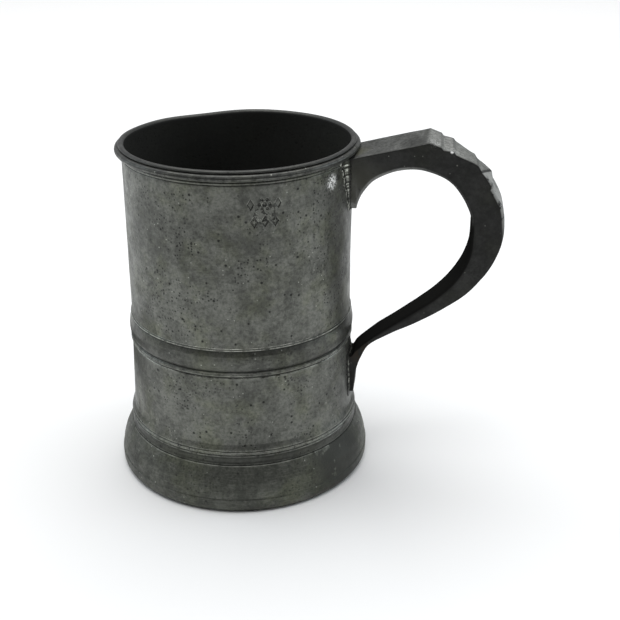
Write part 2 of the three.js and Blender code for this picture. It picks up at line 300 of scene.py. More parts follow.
class Nodes:
    """A few short calls for building a node tree."""

    def __init__(self, name):
        self.material = bpy.data.materials.new(name)
        self.material.use_nodes = True
        self.tree = self.material.node_tree
        self.shader = self.tree.nodes["Principled BSDF"]

    def link(self, source, target):
        self.tree.links.new(source, target)

    def node(self, kind, inputs=None, **settings):
        made = self.tree.nodes.new(kind)
        for key, value in settings.items():
            setattr(made, key, value)
        for key, value in (inputs or {}).items():
            if isinstance(value, bpy.types.NodeSocket):
                self.link(value, made.inputs[key])
            else:
                made.inputs[key].default_value = value
        return made

    def noise(self, vector, scale, detail=4.0, rough=0.6):
        made = self.node(
            "ShaderNodeTexNoise",
            {"Vector": vector, "Scale": scale, "Detail": detail, "Roughness": rough},
        )
        return made.outputs["Fac"]

    def ranged(self, value, low, high, to_low=0.0, to_high=1.0):
        made = self.node(
            "ShaderNodeMapRange",
            {"Value": value, "From Min": low, "From Max": high, "To Min": to_low,
             "To Max": to_high},
            interpolation_type="SMOOTHSTEP",
        )
        return made.outputs["Result"]

    def maths(self, operation, a, b=0.0):
        made = self.node("ShaderNodeMath", {0: a, 1: b}, operation=operation)
        return made.outputs[0]

    def times(self, a, b):
        return self.maths("MULTIPLY", a, b)

    def mix(self, share, a, b, blend="MIX"):
        made = self.node("ShaderNodeMix", data_type="RGBA", blend_type=blend)
        for socket, value in ((0, share), (6, a), (7, b)):
            if isinstance(value, bpy.types.NodeSocket):
                self.link(value, made.inputs[socket])
            else:
                made.inputs[socket].default_value = value
        return made.outputs[2]


def grey(level, olive=1.0):
    """A grey with a slight olive cast."""
    return (level * (1 - 0.02 * olive), level * (1 + 0.01 * olive), level * (1 - 0.1 * olive), 1)


def on_mug(x, y, z):
    """A point in mm from the drum's axis, in the row frame in metres."""
    return (x * MM + AXIS_X, y * MM, z * MM)


def spots(n, vector, scale, share, size):
    """Round spots: random cells of a Voronoi pattern, faded towards their edges."""
    cells = n.node("ShaderNodeTexVoronoi", {"Vector": vector, "Scale": scale})
    chosen = n.node("ShaderNodeSeparateColor", {"Color": cells.outputs["Color"]})
    picked = n.maths("GREATER_THAN", chosen.outputs[0], 1 - share)
    near = n.ranged(cells.outputs["Distance"], size, size * 0.35)
    return n.times(picked, near)


def blemish(n, place, centre, radius, scale, cover):
    """A patch with ragged edges round one point: cover is 0 for a few flecks, 1 for solid."""
    away = n.node("ShaderNodeVectorMath", {0: place, 1: on_mug(*centre)}, operation="DISTANCE")
    near = n.ranged(away.outputs["Value"], radius * MM, radius * MM * 0.3)
    ragged = n.ranged(n.noise(place, scale, 3, 0.7), 0.66 - 0.4 * cover, 0.69 - 0.36 * cover)
    return n.times(near, ragged)


def between_heights(n, level, bottom, top, share):
    """Where the surface lies between two heights in mm, softly, times a share."""
    over = n.ranged(level, (bottom + 0.4) * MM, (bottom + 1.1) * MM)
    under = n.ranged(level, (top + 1.4) * MM, (top + 0.4) * MM, 0, share)
    return n.times(over, under)


def facing_from_axis(n, off_axis, side, normal):
    """How squarely a surface looks away from the drum's axis, from -1 to 1."""
    outward = n.node("ShaderNodeCombineXYZ", {0: off_axis, 1: side})
    radial = n.node("ShaderNodeVectorMath", {0: outward.outputs[0]}, operation="NORMALIZE")
    facing = n.node(
        "ShaderNodeVectorMath", {0: radial.outputs[0], 1: normal}, operation="DOT_PRODUCT"
    )
    return facing.outputs["Value"]


def worn_grip(n, place, side, height, facing_out):
    """The grip's rubbed outer face, and the dark line above it under the thumb rest."""
    # The step at the thumb rest's end runs aslant, lower on the far side.
    aslant = n.maths("ADD", height, n.times(side, 0.26))
    ragged = n.ranged(n.noise(place, 300, 4, 0.7), 0.38, 0.48)
    high = n.times(
        n.ranged(height, 93 * MM, 106 * MM, 0, 0.9), n.ranged(aslant, 117.7 * MM, 117.3 * MM)
    )
    facing_away = n.ranged(facing_out, 0.25, 0.5)
    line = n.times(
        n.ranged(aslant, 117.2 * MM, 117.6 * MM), n.ranged(aslant, 118.4 * MM, 118 * MM, 0, 0.85)
    )
    return n.times(facing_away, n.times(high, ragged)), n.times(facing_away, line)


def arch_edge_reflection(n, off_axis, height, facing, flecked):
    """The eased edges that look sideways and down under the handle's arch, painted lighter as a
    painted reflection of the pale table below them.
    """
    sideways = n.maths("ABSOLUTE", facing.outputs[1])
    on_edge = n.times(n.ranged(sideways, 0.08, 0.25), n.ranged(sideways, 0.975, 0.93))
    on_arch = n.times(
        n.ranged(height, 98 * MM, 102 * MM), n.ranged(off_axis, 72 * MM, 58 * MM, 0.25, 1)
    )
    downward = n.times(on_arch, n.ranged(facing.outputs[2], 0.05, -0.15))
    return n.times(on_edge, n.times(downward, n.ranged(flecked, 0.35, 0.5, 0.5, 1)))


def pewter(
    name, dark, light, metallic=0.7, roughness=0.42, pits=0.5, turning=0.4, worn=0.5,
    worn_tone=0.5, specks=0.5, gloss=0.5, grime=0.75, inside=None, outside=None, top=None,
    bevel=None, darker_bands=(), blemishes=(),
):
    """Old pewter: cloudy oxide, pits, bright nicks, turning lines and rubbed edges.

    pits, turning, worn, specks and grime are how strong each of these is, and worn_tone is how
    light rubbed edges are. inside is (colour, how squarely) of walls that face the drum's axis,
    painted darker as painted shade inside the bowl and on the handle's faces towards the drum,
    and outside is the colour of the grip's worn face that looks away from it. top is two colours
    of the strap's faces that look up, painted lighter as a painted top light, and bevel is the
    colour of the eased edges under the arch, a painted reflection of the pale table below them.
    darker_bands is (bottom, top, share, colour) of heights painted darker, and a blemish is
    (centre, radius, noise scale, cover, colour), in mm."""
    n = Nodes(name)
    place = n.node("ShaderNodeTexCoord").outputs["Object"]
    x, side, height = n.node("ShaderNodeSeparateXYZ", {0: place}).outputs
    off_axis = n.maths("SUBTRACT", x, AXIS_X)
    azimuth = n.maths("ARCTAN2", side, off_axis)
    ring = n.node("ShaderNodeCombineXYZ", {0: n.times(azimuth, 0.004), 2: height}).outputs[0]
    edge = n.node("ShaderNodeAttribute", attribute_name="edge").outputs["Fac"]
    normal = n.node("ShaderNodeNewGeometry").outputs["Normal"]
    facing = n.node("ShaderNodeSeparateXYZ", {0: normal})

    broad = n.noise(place, 45, 4, 0.6)
    patches = n.noise(place, 190, 6, 0.7)
    flecked = n.noise(place, 620, 5, 0.75)
    grain = n.noise(place, 900, 3, 0.65)
    tone = n.maths("ADD", n.times(broad, 0.35), n.times(patches, 0.3))
    tone = n.maths("ADD", tone, n.times(flecked, 0.35))
    base = n.mix(n.ranged(tone, 0.4, 0.6), dark, light)
    greened = n.mix(1, base, (0.98, 1.0, 0.86, 1), "MULTIPLY")
    base = n.mix(n.ranged(n.noise(place, 80, 4, 0.6), 0.45, 0.7), base, greened)
    base = n.mix(n.ranged(grain, 0.42, 0.7, 0, 0.4), base, grey(0.02))

    # Painted top light: the strap's faces that look up take the lighter top colours.
    if top:
        high = n.ranged(height, 98 * MM, 112 * MM)
        painted_top_light = n.times(n.ranged(facing.outputs[2], 0.3, 0.7), high)
        base = n.mix(painted_top_light, base, n.mix(n.ranged(grain, 0.35, 0.65), top[0], top[1]))

    lines = n.noise(ring, 2400, 3, 0.6)
    base = n.mix(n.ranged(lines, 0.5, 0.75, 0, 0.3 * turning), base, grey(0.32))

    clusters = n.ranged(n.noise(place, 70, 3, 0.5), 0.47, 0.6, 0.08, 1)
    small_pits = spots(n, place, 950, 0.42, 0.45)
    large_pits = spots(n, place, 430, 0.14, 0.3)
    pitted = n.maths("MAXIMUM", n.times(small_pits, clusters), large_pits)
    base = n.mix(n.times(pitted, pits), base, grey(0.012))
    nicks = n.maths("MAXIMUM", spots(n, place, 420, 0.05, 0.16), spots(n, place, 900, 0.03, 0.3))
    base = n.mix(n.times(nicks, specks), base, grey(0.55))

    patchy = n.ranged(n.noise(place, 420, 4, 0.7), 0.35, 0.62)
    rubbed = n.times(n.ranged(edge, 0.56, 0.8), n.times(patchy, worn))
    base = n.mix(rubbed, base, grey(worn_tone))
    base = n.mix(n.ranged(edge, 0.46, 0.3, 0, grime), base, grey(0.01))

    # Walls that face the axis are dull, and so are bright blemishes, which would otherwise
    # mirror the dark side of the studio.
    shine = 1.0
    if inside:
        colour, square = inside
        facing_out = facing_from_axis(n, off_axis, side, normal)
        facing_in = n.ranged(facing_out, -square, -square - 0.2)
        # Painted shade: walls that face the axis take the darker inside colour, for the shade
        # inside the bowl and on the handle's faces towards the drum.
        base = n.mix(n.times(facing_in, 0.94), base, colour)
        shine = n.maths("SUBTRACT", 1, facing_in)
        if outside:
            worn_face, line = worn_grip(n, place, side, height, facing_out)
            base = n.mix(worn_face, base, outside)
            base = n.mix(line, base, grey(0.005))
    # Bands of height are painted darker, with wavy edges.
    for bottom, darkened_top, share, colour in darker_bands:
        level = n.maths("ADD", height, n.times(broad, 1.6 * MM))
        base = n.mix(between_heights(n, level, bottom, darkened_top, share), base, colour)
    for centre, radius, scale, cover, colour in blemishes:
        patch = n.times(blemish(n, place, centre, radius, scale, cover), shine)
        base = n.mix(patch, base, colour)
        if colour[1] > 0.5:
            shine = n.times(shine, n.maths("SUBTRACT", 1, patch))
    # Painted reflection: the eased edges under the arch take the lighter bevel colour, for the pale
    # table that they mirror.
    if bevel:
        base = n.mix(arch_edge_reflection(n, off_axis, height, facing, flecked), base, bevel)
    n.link(base, n.shader.inputs["Base Color"])

    rough = n.ranged(patches, 0.3, 0.7, roughness + 0.1, roughness - 0.07)
    rough = n.maths("SUBTRACT", rough, n.times(rubbed, 0.12))
    n.link(rough, n.shader.inputs["Roughness"])
    n.link(n.times(shine, metallic), n.shader.inputs["Metallic"])
    n.link(n.times(shine, gloss), n.shader.inputs["Specular IOR Level"])

    relief = n.times(lines, 0.3 * turning)
    relief = n.maths("ADD", relief, n.times(grain, 0.35))
    relief = n.maths("ADD", relief, n.times(patches, 0.6))
    relief = n.maths("SUBTRACT", relief, n.times(pitted, 0.9 * pits))
    bump = n.node("ShaderNodeBump", {"Strength": 0.6, "Distance": 0.00012, "Height": relief})
    n.link(bump.outputs[0], n.shader.inputs["Normal"])
    return n.material


drum_pewter = pewter(
    # The inside colour is painted shade on the bowl's inner wall.
    "drum_pewter", grey(0.09), grey(0.18), pits=0.9, inside=(grey(0.027, 0.6), 0.75),
    # Darker above 125.6 mm.
    darker_bands=[(125.6, 200, 0.86, grey(0.03, 0.4))],
    blemishes=[
        (MARK_PLACE, 7.5, 560, 0.35, grey(0.035)),
        (MARK_PLACE, 7, 900, 0.1, grey(0.4)),
        ((SCAR_X, SCAR_Y, 120), 9, 300, 0.35, grey(0.04)),
        ((SCAR_X, SCAR_Y, 118), 4, 1400, 0.5, grey(0.95, 0.2)),
    ],
)
lower_drum_pewter = pewter(
    # The inside colour is painted shade on the bowl's inner wall.
    "lower_drum_pewter", grey(0.09), grey(0.18), pits=0.9, inside=(grey(0.027, 0.6), 0.75),
    # Darker towards the bottom, up to 21 mm.
    worn=0.8, darker_bands=[(-9, 21.0, 0.7, grey(0.03, 1.4))],
)
rim_pewter = pewter(
    "rim_pewter", grey(0.021, 0.4), grey(0.051, 0.4), pits=0.4, worn=0.8, worn_tone=0.55,
    grime=0.5,
)
band_pewter = pewter(
    "band_pewter", grey(0.063), grey(0.13), roughness=0.38, worn=1.0, worn_tone=0.6
)
foot_pewter = pewter(
    "foot_pewter", grey(0.07, 1.3), grey(0.145, 1.3), roughness=0.5, turning=0.8, pits=0.6,
    # The large dark blemish on the foot's right front is painted shade, where that side gets less
    # light.
    worn=0.25, specks=0.8, blemishes=[((41, -22, 10), 24, 120, 0.8, grey(0.045, 1.3))],
)
handle_pewter = pewter(
    "handle_pewter", grey(0.013, 0.5), grey(0.03, 0.5), metallic=0.3, roughness=0.55,
    turning=0.0, worn=1.0, worn_tone=0.4, specks=0.25, gloss=0.3,
    # The bevel colour is a painted reflection of the pale table on the eased edges under the arch.
    # The inside colour is painted shade on the handle's faces towards the drum.
    inside=(grey(0.014, 0.5), 0.1), outside=grey(0.3, 0.4), bevel=grey(0.22, 0.4),
    # top paints the strap's upward faces lighter, a painted top light.
    top=(grey(0.108, 0.6), grey(0.25, 0.6)),
    blemishes=[
        # Stains on the root's side, on top of the strap beside the rim and on the lower arm.
        ((44, -10, 109), 18, 200, 0.95, (0.055, 0.055, 0.044, 1)),
        ((42.5, -2, 124), 7, 300, 0.9, (0.14, 0.14, 0.075, 1)),
        ((46, -4, 47), 7, 200, 0.7, (0.03, 0.023, 0.016, 1)),
        # Chips on the thumb rest.
        ((70.3, -7, 129.5), 4, 2000, 0.3, grey(0.5, 0.3)),
        ((78, -6, 126.5), 4, 2000, 0.28, grey(0.5, 0.3)),
        ((76.6, -9.6, 127), 0.8, 1500, 1.0, grey(0.9, 0.2)),
    ],
)
# Its rubbed edges are almost white: wear, and a painted highlight along the handle's solder frames.
solder = pewter(
    "solder", grey(0.02, 1.2), grey(0.08), roughness=0.5, turning=0.0, pits=0.9, worn=1.0,
    worn_tone=0.85, specks=1.0, grime=0.9,
)
dark_solder = pewter(
    "dark_solder", grey(0.02, 1.2), grey(0.05), roughness=0.55, turning=0.0, worn=0.0,
    specks=0.3,
)


# ---------------------------------------------------------------- struck mark

def lozenge(across, up, half_width, half_height):
    """How deep a struck lozenge is, 0 to 1, at offsets from its centre in mm."""
    inside = 1 - abs(across) / half_width - abs(up) / half_height
    return ease(inside * half_width / STRUCK_SLOPE)


def pellet(across, up, radius):
    """The same for a round pellet."""
    return ease((radius - np.hypot(across, up)) / STRUCK_SLOPE)


def struck_mark(across, up):
    """A generic struck mark: a rosette between two lozenges, over a row of lozenges."""
    upper, lower = up - 3, up + 3.1
    depth = pellet(across, upper, 0.8)
    for petal in range(6):
        turn = petal * math.pi / 3
        depth = np.maximum(
            depth, pellet(across - 1.8 * math.cos(turn), upper - 1.8 * math.sin(turn), 0.65)
        )
    for side in (-1, 1):
        depth = np.maximum(depth, lozenge(across - side * 4.7, upper, 1.3, 2.2))
    for place in (-3.6, 0, 3.6):
        ring = lozenge(across - place, lower, 1.5, 2.2)
        middle = lozenge(across - place, lower, 0.7, 1.1)
        depth = np.maximum(depth, ring - middle)
    return depth


def mark_in_wall(azimuth, height, radius):
    across = angle_between(azimuth, MARK_AZIMUTH) * WAIST_RADIUS
    outside = radius > (BORE_RADIUS + RIM_RADIUS) / 2
    return -MARK_DEPTH * struck_mark(across, height - MARK_HEIGHT) * outside


# ---------------------------------------------------------------- turned pieces

def drum_angles():
    """Even columns, with close ones across the struck mark."""
    half = MARK_HALF_WIDTH / WAIST_RADIUS
    coarse = even_angles()
    coarse = coarse[abs(angle_between(coarse, MARK_AZIMUTH)) > half]
    close = MARK_AZIMUTH + np.linspace(-half, half, 100)
    return np.sort(np.concatenate([coarse, close]))


def wall_with_mark_rows(outline):
    """Adds close rows to the outer wall where the mark is struck."""
    rows = []
    for here, after in zip(outline, np.roll(outline, -1, 0)):
        near = abs((here[1] + after[1]) / 2 - MARK_HEIGHT) < MARK_HALF_HEIGHT
        outer = min(here[0], after[0]) > BORE_RADIUS + 0.5
        length = np.linalg.norm(after - here)
        pieces = math.ceil(length / MARK_ROW_SPACING) if near and outer else 1
        rows += [here + (after - here) * k / pieces for k in range(pieces)]
    return np.array(rows)


def make_upper_drum():
    outline = eased([
        (BORE_RADIUS, WAIST_FILM_TOP),
        (WAIST_RADIUS, WAIST_FILM_TOP),
        (WAIST_RADIUS, BAND_TOP),
        (RIM_RADIUS + 0.03, LIP_BOTTOM - 2.6),
        (RIM_RADIUS, LIP_BOTTOM - 2.1),
        (RIM_RADIUS - 0.22, LIP_BOTTOM - 1.85),
        (RIM_RADIUS + 0.12, LIP_BOTTOM - 1.5),
        (RIM_RADIUS + 0.12, LIP_BOTTOM - 1.1),
        (RIM_RADIUS - 0.15, LIP_BOTTOM - 0.8),
        (RIM_RADIUS, LIP_BOTTOM - 0.4),
        (RIM_RADIUS, LIP_TOP),
        (RIM_RADIUS + 0.8, LIP_TOP),
        (RIM_RADIUS + 1.1, LIP_TOP + 0.5),
        (RIM_RADIUS + 0.8, CREST - 0.2),
        (RIM_RADIUS + 0.2, CREST),
        (RIM_RADIUS - 0.4, CREST - 0.1),
        (BORE_RADIUS + 0.2, CREST - 0.6),
        (BORE_RADIUS, CREST - 1.2),
    ])
    turned_piece(
        "upper_drum_fine", wall_with_mark_rows(outline), drum_pewter, "upper_drum",
        drum_angles(), mark_in_wall,
    )


def make_lip_band():
    outline = eased([
        (RIM_RADIUS, LIP_BOTTOM),
        (LIP_RADIUS - 1.1, LIP_BOTTOM),
        (LIP_RADIUS - 0.3, LIP_BOTTOM + 0.2),
        (LIP_RADIUS, LIP_BOTTOM + 0.7),
        (LIP_RADIUS - 0.1, LIP_TOP - 0.7),
        (LIP_RADIUS - 0.6, LIP_TOP - 0.15),
        (LIP_RADIUS - 1.2, LIP_TOP),
        (RIM_RADIUS, LIP_TOP),
    ])
    turned_piece(
        "lip_band_fine", outline, rim_pewter, "lip_band", even_angles()
    )


def make_waist_band():
    low, high, full = BAND_BOTTOM, BAND_TOP, BAND_RADIUS
    outline = eased([
        (WAIST_RADIUS, low),
        (full - 0.7, low),
        (full - 0.95, low + 0.35),
        (full - 0.45, low + 0.7),
        (full - 0.15, low + 1.15),
        (full - 0.25, low + 1.7),
        (full - 0.65, low + 2),
        (full - 1, low + 2.35),
        (full - 0.6, low + 2.8),
        (full - 0.15, low + 3.8),
        (full, low + 5.6),
        (full, high - 5),
        (full - 0.3, high - 3),
        (full - 0.75, high - 1.7),
        (full - 1, high - 1.3),
        (full - 0.75, high - 1),
        (full - 0.55, high - 0.6),
        (full - 0.9, high - 0.2),
        (WAIST_RADIUS, high),
    ], fillet=0.25)
    turned_piece(
        "waist_band_fine", outline, band_pewter, "waist_band", even_angles()
    )


def make_lower_drum():
    foot = FOOT_FILM_TOP
    neck = FOOT_NECK_RADIUS
    outline = eased([
        (BORE_FOOT_RADIUS, foot),
        (neck - 0.3, foot),
        (neck - 0.7, foot + 1),
        (neck - 0.8, foot + 2.2),
        (neck - 0.4, foot + 3.3),
        (neck - 0.75, foot + 3.6),
        (neck - 0.8, foot + 3.9),
        (neck - 0.4, foot + 4.1),
        (neck - 0.45, foot + 4.6),
        (neck - 0.9, foot + 4.9),
        (neck - 0.95, foot + 5.2),
        (neck - 0.65, foot + 5.4),
        (neck - 0.9, foot + 6.2),
        (neck - 1.5, foot + 7.7),
        (FLARE_RADIUS, FLARE_TOP),
        (SHOULDER_RADIUS, BAND_BOTTOM),
        (WAIST_RADIUS, BAND_BOTTOM),
        (WAIST_RADIUS, WAIST),
        (BORE_RADIUS, WAIST),
    ], fillet=0.2)
    turned_piece(
        "lower_drum_fine", outline, lower_drum_pewter, "lower_drum",
        even_angles(), seed=4,
    )


def make_foot_skirt():
    inner = FOOT_RADIUS - 4
    outline = eased([
        (inner, 0),
        (FOOT_RADIUS - 1.8, 0),
        (FOOT_RADIUS - 0.9, 0.5),
        (FOOT_RADIUS - 0.1, 1.8),
        (FOOT_RADIUS, 5.2),
        (FOOT_RADIUS - 0.3, 5.6),
        (FOOT_RADIUS - 0.6, 8.4),
        (FOOT_RADIUS - 1.5, 11.6),
        (FOOT_RADIUS - 3, 14.8),
        (FOOT_RADIUS - 3.9, 16.7),
        (FOOT_NECK_RADIUS, FOOT_TOP),
        (BORE_FOOT_RADIUS, FOOT_TOP),
        (BORE_FOOT_RADIUS, DISC_TOP),
        (DISC_RADIUS, DISC_TOP),
        (DISC_RADIUS, DISC_BOTTOM - 1.2),
        (inner + 0.9, DISC_BOTTOM - 2.6),
        (inner + 1.6, 4.2),
        (inner + 1, 1.4),
    ])
    turned_piece(
        "foot_skirt_fine", outline, foot_pewter, "foot_skirt", even_angles(),
        seed=9,
    )


def make_base_disc():
    """The bowl's floor, with the shallow rings that the lathe left."""
    rings = [(DISC_RADIUS - 3.5 - 3.1 * k, DISC_TOP - 0.06 * (k % 2)) for k in range(11)]
    outline = eased([
        (0, DISC_BOTTOM),
        (DISC_RADIUS - 1, DISC_BOTTOM),
        (DISC_RADIUS, DISC_BOTTOM + 0.1),
        (DISC_RADIUS, DISC_TOP),
        *rings,
        (0, DISC_TOP - 0.3),
    ], closed=False)
    turned_piece(
        "base_disc_fine", outline, foot_pewter, "base_disc",
        even_angles(180), seed=12,
    )


def lumps_round(azimuth, size, scale, seed):
    """How far solder stands out in uneven lumps round a ring, in mm."""
    return np.array([
        size * noise.noise(Vector((math.cos(a) * scale, math.sin(a) * scale, seed)))
        for a in azimuth
    ])


def make_joint_ring(name, node, inner, outer, bottom, top, seed):
    """Solder squeezed out a little, unevenly, where two turned pieces meet."""
    bulge = 0.12
    middle = (bottom + top) / 2
    outline = eased([
        (inner, bottom),
        (outer, bottom),
        (outer + bulge, middle),
        (outer, top),
        (inner, top),
        (inner - bulge, middle),
    ], fillet=0.1)

    def lumps(azimuth, height, radius):
        return lumps_round(azimuth, bulge, 9, seed) * np.sign(radius - (inner + outer) / 2)

    turned_piece(name, outline, dark_solder, node, even_angles(), lumps)


def make_base_solder():
    """The fillet that holds the base disc in from below."""
    outline = eased([
        (DISC_RADIUS - 1.5, DISC_BOTTOM),
        (DISC_RADIUS - 0.9, DISC_BOTTOM - 0.35),
        (DISC_RADIUS - 0.4, DISC_BOTTOM - 0.8),
        (DISC_RADIUS, DISC_BOTTOM - 1.2),
        (DISC_RADIUS, DISC_BOTTOM),
    ], fillet=0.2)

    def lumps(azimuth, height, radius):
        return lumps_round(azimuth, 0.5, 7, 3.7) * (radius < DISC_RADIUS - 0.2)

    turned_piece(
        "base_solder_fine", outline, solder, "base_solder", even_angles(), lumps
    )


# ---------------------------------------------------------------- handle

def wall_surface(side, height):
    """X of the drum's outside where the handle lies on it, at each y and height."""
    turned = np.interp(
        height,
        [FLARE_TOP, BAND_BOTTOM, BAND_TOP, LIP_BOTTOM - 1],
        [FLARE_RADIUS, SHOULDER_RADIUS, WAIST_RADIUS, RIM_RADIUS],
    )
    radius = turned + worn_radius(np.arcsin(side / WAIST_RADIUS), height)
    return np.sqrt(radius ** 2 - side ** 2)


def onto_wall(points, sunk=0.1):
    """Moves points that lie inside the drum out along X to its surface."""
    moved = points.copy()
    surface = wall_surface(points[:, 1], points[:, 2]) - sunk
    moved[:, 0] = np.maximum(points[:, 0], surface)
    return moved


def handle_outer():
    """Side view's outer line: strap, stepped thumb rest, D, lower arm and tongue."""
    stepped = eased([
        (BURIED_X, BURIED_TOP), (68.8, 130.1),
        (72.8, 128.6), (73.7, 127.6),
        (77.2, 126.9), (78, 125.9),
        (85.3, 121.9), (86.4, 120.2),
        (91.4, 115.6), (91.6, 114.9),
        (91.2, 114.2),
    ], fillet=0.25, arc_steps=4, longest=0.9, closed=False)
    swept = smooth_curve([
        (91.2, 114.2), (92.5, 112.2), (94.7, 108.1), (95.9, 104.3), (HANDLE_REACH, 97.5),
        (94.5, 89.7), (90.5, 81.3), (83.7, 72.5), (74.6, 65.3), (65.3, 59.7), (55.7, 54.5),
        (49.2, 50.2), (46.2, 44.8), (44.6, 39.5), (43.9, 34), (43.6, TONGUE_BOTTOM),
    ])
    return np.vstack([stepped, swept[1:]])


def handle_inner():
    """Side view's inner line, from the root's foot round the finger gap to the tongue."""
    swept = smooth_curve([
        (43.6, ROOT_BOTTOM), (44.2, 106.1), (46.2, 110.6), (50.5, 115.8), (58.4, 119.5),
        (68, 119.8), (77.6, 114.8), (83.9, 104.6), (84.8, 93.8), (83.6, 86.3), (79.5, 78.3),
        (73.6, 71.6), (66.8, 66), (59.2, 60.3), (51.3, 54.4), (44.9, 48.6), (42.7, CROTCH),
        (41, 43.4), (41, TONGUE_BOTTOM),
    ])
    return np.vstack([[(BURIED_X, ROOT_BOTTOM)], swept])


# Points across from each other on the outer and inner lines.
HANDLE_RIBS = [
    ((BURIED_X, BURIED_TOP), (BURIED_X, ROOT_BOTTOM)),
    ((42.2, 123.7), (43.6, ROOT_BOTTOM)),
    ((46.5, 124.7), (46.2, 110.6)),
    ((51, 125.8), (50.5, 115.8)),
    ((59, 127.7), (58.4, 119.5)),
    ((68.8, 130.1), (68, 119.8)),
    ((78.5, 125.5), (74.5, 117)),
    ((86.5, 120.4), (80, 111.7)),
    ((91.5, 114.6), (82.1, 108)),
    ((96.1, 97.5), (84.7, 94.5)),
    ((94.5, 89.7), (84.2, 88)),
    ((90.6, 81.2), (81.9, 82)),
    ((83.9, 72.3), (77.1, 75.3)),
    ((74.9, 65), (70.3, 68.8)),
    ((65.5, 59.3), (62, 62.4)),
    ((55.9, 54.1), (52.9, 55.6)),
    ((49.4, 50), (46.8, 50.3)),
    ((46.1, 44.8), (42.7, CROTCH)),
    ((44.6, 39.5), (41, 39.5)),
    ((43.6, 30.4), (41, 30.4)),
]


def handle_half_width(x, height):
    """Half the width across the handle: wide strap, narrower grip, tapered lower arm."""
    grip = GRIP_HALF_WIDTH
    narrow = TONGUE_HALF_WIDTH
    tapered = np.interp(
        height, [58, 68, 75.5, 82, 88, 94],
        [narrow, narrow + 0.5, grip - 2.1, grip - 1.2, grip - 0.4, grip],
    )
    strap_end, blend = 78, 9
    strap = ease((strap_end - x) / blend) * (height > ARCH_BOTTOM)
    return tapered + (STRAP_HALF_WIDTH - GRIP_HALF_WIDTH) * strap


def root_half_width(x, height):
    """The same on the inner line, where the root draws in towards its foot."""
    full = handle_half_width(x, height)
    drawn_in = np.interp(
        height, [ROOT_BOTTOM, ROOT_SHOULDER], [ROOT_FOOT_HALF_WIDTH, STRAP_HALF_WIDTH]
    )
    return min(full, drawn_in) if x < 55 and height > ARCH_BOTTOM else full


def thumb_rest_tilt(x, height):
    """How much higher than the middle the worn thumb rest is on its near side, in mm."""
    middle, spread = 84.5, 5
    return 0.7 * math.exp(-((x - middle) / spread) ** 2) * (height > 110)


def section_ring(depth, tilt, outer_half, inner_half, outer_ease, inner_ease, side_ease):
    """A four-sided section with eased corners, as [across the strap's depth, y] points.

    inner_ease and side_ease are how far the inner corners are eased along the inner face and
    up the sides, in mm."""
    corners = [
        ((depth + tilt, -outer_half), outer_ease, outer_ease),
        ((depth - tilt, outer_half), outer_ease, outer_ease),
        ((0, inner_half), side_ease, inner_ease),
        ((0, -inner_half), inner_ease, side_ease),
    ]
    arcs = []
    for i, (place, ease_before, ease_after) in enumerate(corners):
        here = np.array(place, float)
        before = np.array(corners[i - 1][0]) - here
        after = np.array(corners[(i + 1) % 4][0]) - here
        long_before, long_after = np.linalg.norm(before), np.linalg.norm(after)
        start = here + before / long_before * min(ease_before, 0.4 * long_before)
        end = here + after / long_after * min(ease_after, 0.4 * long_after)
        steps = np.linspace(0, 1, 6)[:, None]
        arcs.append((1 - steps) ** 2 * start + 2 * steps * (1 - steps) * here + steps ** 2 * end)
    ring = []
    for i, arc in enumerate(arcs):
        following = arcs[(i + 1) % 4][0]
        ring += list(arc)
        ring += [arc[-1] + (following - arc[-1]) * k / 9 for k in range(1, 9)]
    return np.array(ring)


def nearest_length(path, lengths, point):
    """How far along a path its nearest point to a given one is."""
    return lengths[np.argmin(np.linalg.norm(path - np.array(point), axis=1))]


def rough_cast(vertices, faces, coarse, fine):
    """Moves each point along its normal by the slight waves of a casting."""
    mesh = bpy.data.meshes.new("blank")
    mesh.from_pydata(np.asarray(vertices).tolist(), [], faces)
    mesh.update()
    moved = []
    for vertex in mesh.vertices:
        wave = coarse * noise.noise(vertex.co / 8) + fine * noise.noise(vertex.co / 2.2)
        moved.append(vertex.co + vertex.normal * wave)
    bpy.data.meshes.remove(mesh)
    return np.array(moved)


def loft_faces(rings, points, closed=False):
    """Quads between rings of points, and from the last ring to the first where closed."""
    faces = []
    for i in range(rings if closed else rings - 1):
        j = (i + 1) % rings
        for k in range(points):
            n = (k + 1) % points
            faces.append([i * points + k, i * points + n, j * points + n, j * points + k])
    return faces


